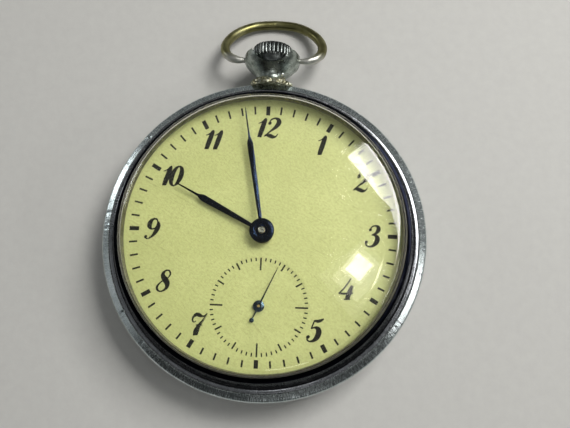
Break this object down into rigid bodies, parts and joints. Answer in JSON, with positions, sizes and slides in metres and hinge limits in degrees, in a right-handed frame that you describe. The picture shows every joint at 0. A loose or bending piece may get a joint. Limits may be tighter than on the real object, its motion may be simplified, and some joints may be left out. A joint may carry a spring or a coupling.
{
  "type": "open face pocket watch",
  "caption": "Open face pocket watch with a domed crystal, small seconds, crown and bow at twelve, and a hand-wound lever movement in a snap-together case.",
  "frame": {"origin": "on the hands' axis, on the flat of the case back", "axes": "+Z out of the dial, +Y to 12 o'clock and the crown, +X to 3 o'clock"},
  "size_m": [0.0446, 0.0578, 0.0124],
  "materials": {
    "chrome_case": "worn polished chrome plate, scratched on the rim",
    "worn_pendant": "worn grey chrome plate",
    "acrylic": "clear domed acrylic with fine scratches",
    "worn_brass_wire": "brass showing through worn plating",
    "dark_chrome": "dark fluted chrome plate",
    "steel": "brushed and polished steel",
    "spring_steel": "tempered spring steel",
    "blued_steel": "heat-blued polished steel",
    "cream_dial": "cream yellow-green lacquer with printed black figures",
    "nickel_plate": "nickel-plated brass with striped finish",
    "ruby": "synthetic ruby",
    "gilt_brass": "gilt brass"
  },
  "bodies": {
    "case_and_movement": {"case_band": "chrome_case", "pendant": "worn_pendant", "dial": "cream_dial", "dial_foot_screws": "steel", "mainplate": "nickel_plate", "barrel_bridge": "nickel_plate", "train_bridge": "nickel_plate", "balance_cock": "nickel_plate", "pallet_cock": "nickel_plate", "bridge_screws": "blued_steel", "case_screws": "steel", "plate_jewels": "ruby", "bridge_jewels": "ruby", "crown_wheel_screw": "steel", "click_screw": "blued_steel", "click_spring": "spring_steel", "hairspring_stud": "steel", "setting_lever_screw": "steel", "yoke_spring": "spring_steel", "setting_lever_spring": "spring_steel", "dial_washer": "gilt_brass"},
    "bezel_and_crystal": {"bezel": "chrome_case", "crystal": "acrylic"},
    "case_back": {"case_back": "chrome_case"},
    "bow": {"bow": "worn_brass_wire"},
    "winding_pinion": {"winding_pinion": "steel"},
    "crown_and_stem": {"crown": "dark_chrome", "winding_stem": "steel"},
    "sliding_pinion": {"sliding_pinion": "steel"},
    "setting_lever": {"setting_lever": "steel"},
    "yoke": {"yoke": "steel"},
    "setting_wheel": {"setting_wheel": "gilt_brass"},
    "crown_wheel": {"crown_wheel": "steel"},
    "ratchet_and_arbor": {"ratchet_wheel": "steel", "ratchet_wheel_screw": "steel", "barrel_arbor": "steel", "mainspring": "spring_steel"},
    "click": {"click": "steel"},
    "barrel": {"barrel": "gilt_brass", "barrel_cover": "gilt_brass"},
    "centre_wheel_and_minute_hand": {"centre_wheel": "gilt_brass", "cannon_pinion": "steel", "minute_hand": "blued_steel"},
    "third_wheel": {"third_wheel": "gilt_brass"},
    "fourth_wheel_and_seconds_hand": {"fourth_wheel": "gilt_brass", "seconds_hand": "blued_steel"},
    "escape_wheel": {"escape_wheel": "steel"},
    "pallet_fork": {"pallet_fork": "steel"},
    "balance": {"balance_wheel": "gilt_brass", "balance_screws": "gilt_brass", "balance_staff": "steel", "roller": "steel", "hairspring": "spring_steel"},
    "regulator": {"regulator": "steel"},
    "minute_wheel": {"minute_wheel": "gilt_brass"},
    "hour_wheel_and_hour_hand": {"hour_wheel": "gilt_brass", "hour_hand": "blued_steel"}
  },
  "joints": [
    {"name": "bow_hinge", "type": "hinge", "parent": "case_and_movement", "child": "bow", "pos_m": [0, 0.0267, 0.0049], "axis": [1, 0, 0], "range_deg": [-110, 159]},
    {"name": "bezel_lift", "type": "slide", "parent": "case_and_movement", "child": "bezel_and_crystal", "axis": [0, 0, 1], "range_m": [0, 0.015]},
    {"name": "back_removal", "type": "slide", "parent": "case_and_movement", "child": "case_back", "axis": [0, 0, -1], "range_m": [0, 0.015]},
    {"name": "crown_turn", "type": "hinge", "parent": "case_and_movement", "child": "winding_pinion", "pos_m": [0, 0, 0.0049], "axis": [0, 1, 0], "continuous": true},
    {"name": "crown_pull", "type": "slide", "parent": "winding_pinion", "child": "crown_and_stem", "axis": [0, 1, 0], "range_m": [0, 0.0009]},
    {"name": "clutch_slide", "type": "slide", "parent": "winding_pinion", "child": "sliding_pinion", "axis": [0, 1, 0], "range_m": [-0.00076, 0]},
    {"name": "setting_lever_turn", "type": "hinge", "parent": "case_and_movement", "child": "setting_lever", "pos_m": [0.00389, 0.01585, 0.0069], "axis": [0, 0, 1], "range_deg": [-16.42, 0]},
    {"name": "yoke_turn", "type": "hinge", "parent": "case_and_movement", "child": "yoke", "pos_m": [-0.0047, 0.01132, 0.0069], "axis": [0, 0, 1], "range_deg": [-12.34, 0]},
    {"name": "crown_wheel_turn", "type": "hinge", "parent": "case_and_movement", "child": "crown_wheel", "pos_m": [0, 0.01, 0.0028], "axis": [0, 0, 1], "continuous": true},
    {"name": "ratchet_turn", "type": "hinge", "parent": "case_and_movement", "child": "ratchet_and_arbor", "pos_m": [-0.0061, 0.00514, 0.0028], "axis": [0, 0, 1], "continuous": true, "deforming": ["mainspring"]},
    {"name": "click_rock", "type": "hinge", "parent": "case_and_movement", "child": "click", "pos_m": [-0.01139, 0.00819, 0.0028], "axis": [0, 0, 1], "range_deg": [-12, 0], "stiffness_Nm_per_rad": 0.000002, "springref_deg": 5.73},
    {"name": "fourth_wheel_turn", "type": "hinge", "parent": "case_and_movement", "child": "fourth_wheel_and_seconds_hand", "pos_m": [0, -0.00994, 0.0042], "axis": [0, 0, 1], "continuous": true},
    {"name": "escape_wheel_turn", "type": "hinge", "parent": "case_and_movement", "child": "escape_wheel", "pos_m": [0.00409, -0.00884, 0.0046], "axis": [0, 0, 1], "continuous": true},
    {"name": "third_wheel_turn", "type": "hinge", "parent": "case_and_movement", "child": "third_wheel", "pos_m": [-0.00109, -0.00566, 0.005], "axis": [0, 0, 1], "continuous": true},
    {"name": "centre_wheel_turn", "type": "hinge", "parent": "case_and_movement", "child": "centre_wheel_and_minute_hand", "pos_m": [0, 0, 0.0058], "axis": [0, 0, 1], "continuous": true},
    {"name": "barrel_turn", "type": "hinge", "parent": "case_and_movement", "child": "barrel", "pos_m": [-0.0061, 0.00514, 0.004], "axis": [0, 0, 1], "continuous": true},
    {"name": "minute_wheel_turn", "type": "hinge", "parent": "case_and_movement", "child": "minute_wheel", "pos_m": [0, 0.00384, 0.0068], "axis": [0, 0, 1], "continuous": true},
    {"name": "hour_wheel_turn", "type": "hinge", "parent": "case_and_movement", "child": "hour_wheel_and_hour_hand", "pos_m": [0, 0, 0.0073], "axis": [0, 0, 1], "continuous": true},
    {"name": "setting_wheel_turn", "type": "hinge", "parent": "case_and_movement", "child": "setting_wheel", "pos_m": [0, 0.00816, 0.0068], "axis": [0, 0, 1], "continuous": true},
    {"name": "pallet_fork_rock", "type": "hinge", "parent": "case_and_movement", "child": "pallet_fork", "pos_m": [0.00709, -0.00711, 0.00465], "axis": [0, 0, 1], "range_deg": [-5, 5]},
    {"name": "balance_swing", "type": "hinge", "parent": "case_and_movement", "child": "balance", "pos_m": [0.0102, -0.0053, 0.0037], "axis": [0, 0, 1], "range_deg": [-270, 270], "deforming": ["hairspring"]},
    {"name": "regulator_turn", "type": "hinge", "parent": "case_and_movement", "child": "regulator", "pos_m": [0.0102, -0.0053, 0.0022], "axis": [0, 0, 1], "range_deg": [-20, 20]}
  ],
  "couplings": [
    {"joint": "clutch_slide", "follows": "crown_pull", "ratio": -0.83333},
    {"joint": "setting_lever_turn", "follows": "crown_pull", "rad_per_m": -316.77},
    {"joint": "yoke_turn", "follows": "crown_pull", "rad_per_m": -238.1},
    {"joint": "crown_wheel_turn", "follows": "crown_turn", "ratio": 0.5},
    {"joint": "ratchet_turn", "follows": "crown_turn", "ratio": -0.42857},
    {"joint": "third_wheel_turn", "follows": "fourth_wheel_turn", "ratio": -0.13333},
    {"joint": "centre_wheel_turn", "follows": "fourth_wheel_turn", "ratio": 0.016667},
    {"joint": "barrel_turn", "follows": "fourth_wheel_turn", "ratio": -0.0027778},
    {"joint": "escape_wheel_turn", "follows": "fourth_wheel_turn", "ratio": -10},
    {"joint": "minute_wheel_turn", "follows": "fourth_wheel_turn", "ratio": -0.0055556},
    {"joint": "hour_wheel_turn", "follows": "fourth_wheel_turn", "ratio": 0.0013889},
    {"joint": "setting_wheel_turn", "follows": "fourth_wheel_turn", "ratio": 0.011111}
  ]
}
